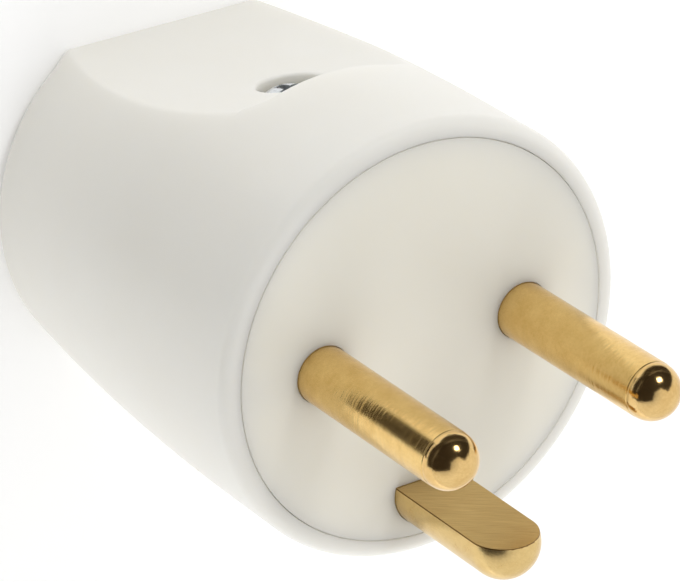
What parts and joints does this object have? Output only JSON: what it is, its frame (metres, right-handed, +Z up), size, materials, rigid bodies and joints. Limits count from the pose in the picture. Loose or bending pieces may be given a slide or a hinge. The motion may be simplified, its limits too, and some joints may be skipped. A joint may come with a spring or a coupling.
{
  "type": "electrical plug",
  "caption": "Rewirable earthed mains plug: round moulded shell with concave finger grips, round brass line pins and a flat-topped brass earth pin.",
  "frame": {"origin": "centre of the front face, midway between the line pins", "axes": "+Z up along the pins, the plug standing on its rear face; the earth pin is towards -Y and the screw recess towards +Y"},
  "size_m": [0.0375, 0.0374, 0.0582],
  "materials": {
    "shell_plastic": "satin moulded off-white",
    "face_plastic": "satin moulded warm white",
    "insert_plastic": "matt moulded off-white",
    "pin_brass": "turned, fine lathe marks",
    "zinc_steel": "zinc plated"
  },
  "bodies": {
    "root": {"shell": "shell_plastic", "face_plate": "face_plastic", "terminal_block": "insert_plastic", "cord_strap": "insert_plastic", "line_pin_left": "pin_brass", "line_pin_right": "pin_brass", "earth_pin": "pin_brass", "terminal_screw_left": "zinc_steel", "terminal_screw_right": "zinc_steel", "terminal_screw_earth": "zinc_steel", "block_screw_left": "zinc_steel", "block_screw_right": "zinc_steel", "strap_screw_left": "zinc_steel", "strap_screw_right": "zinc_steel", "strap_nut_left": "zinc_steel", "strap_nut_right": "zinc_steel", "fixing_screw": "zinc_steel", "fixing_nut": "zinc_steel"}
  },
  "joints": []
}
